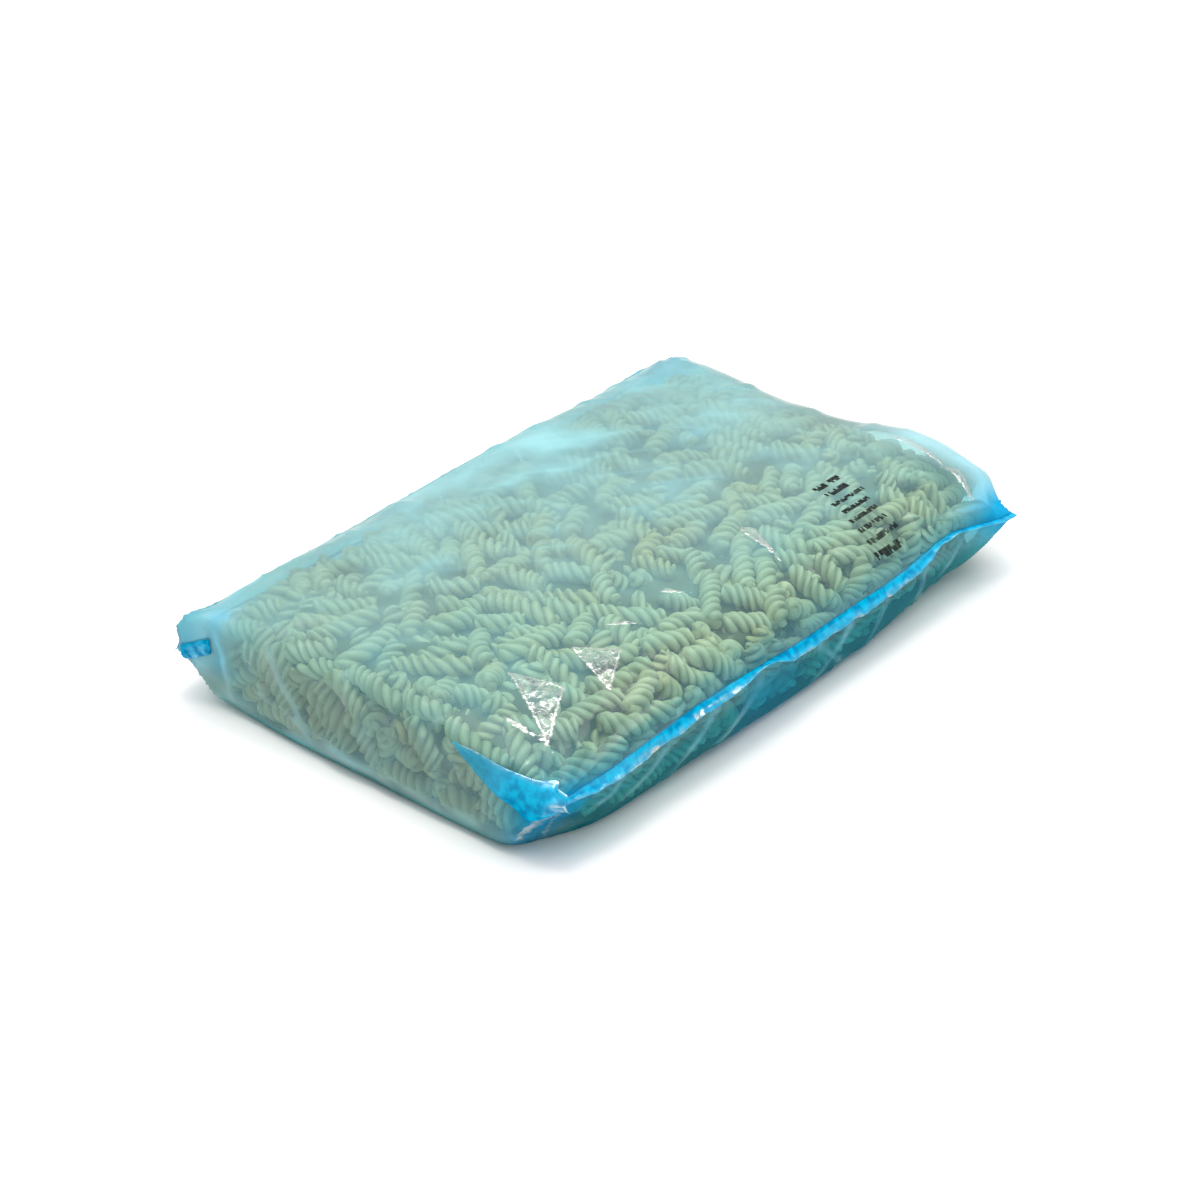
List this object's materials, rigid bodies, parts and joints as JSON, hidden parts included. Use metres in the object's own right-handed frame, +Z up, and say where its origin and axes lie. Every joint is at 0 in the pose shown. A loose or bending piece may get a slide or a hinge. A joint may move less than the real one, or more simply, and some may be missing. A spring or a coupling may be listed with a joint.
{
  "type": "pasta bag",
  "caption": "Flat pillow-shaped catering bag of twisted pasta in clear blue film, with a sealed fin along each long side and a folded corner.",
  "frame": {"origin": "under the middle of the bag, on the surface that it lies on", "axes": "+X along the two seals, +Y across them, +Z up; the folded corner is at -X -Y"},
  "size_m": [0.4028, 0.2714, 0.067],
  "materials": {
    "film": "thin clear blue film, glossy and softly wrinkled",
    "seal": "several layers of the blue film sealed together, crinkled",
    "pasta": "pale cooked pasta, slightly moist",
    "ink": "thin black date-code ink"
  },
  "bodies": {
    "root": {"pasta_bag": "film"}
  },
  "joints": []
}
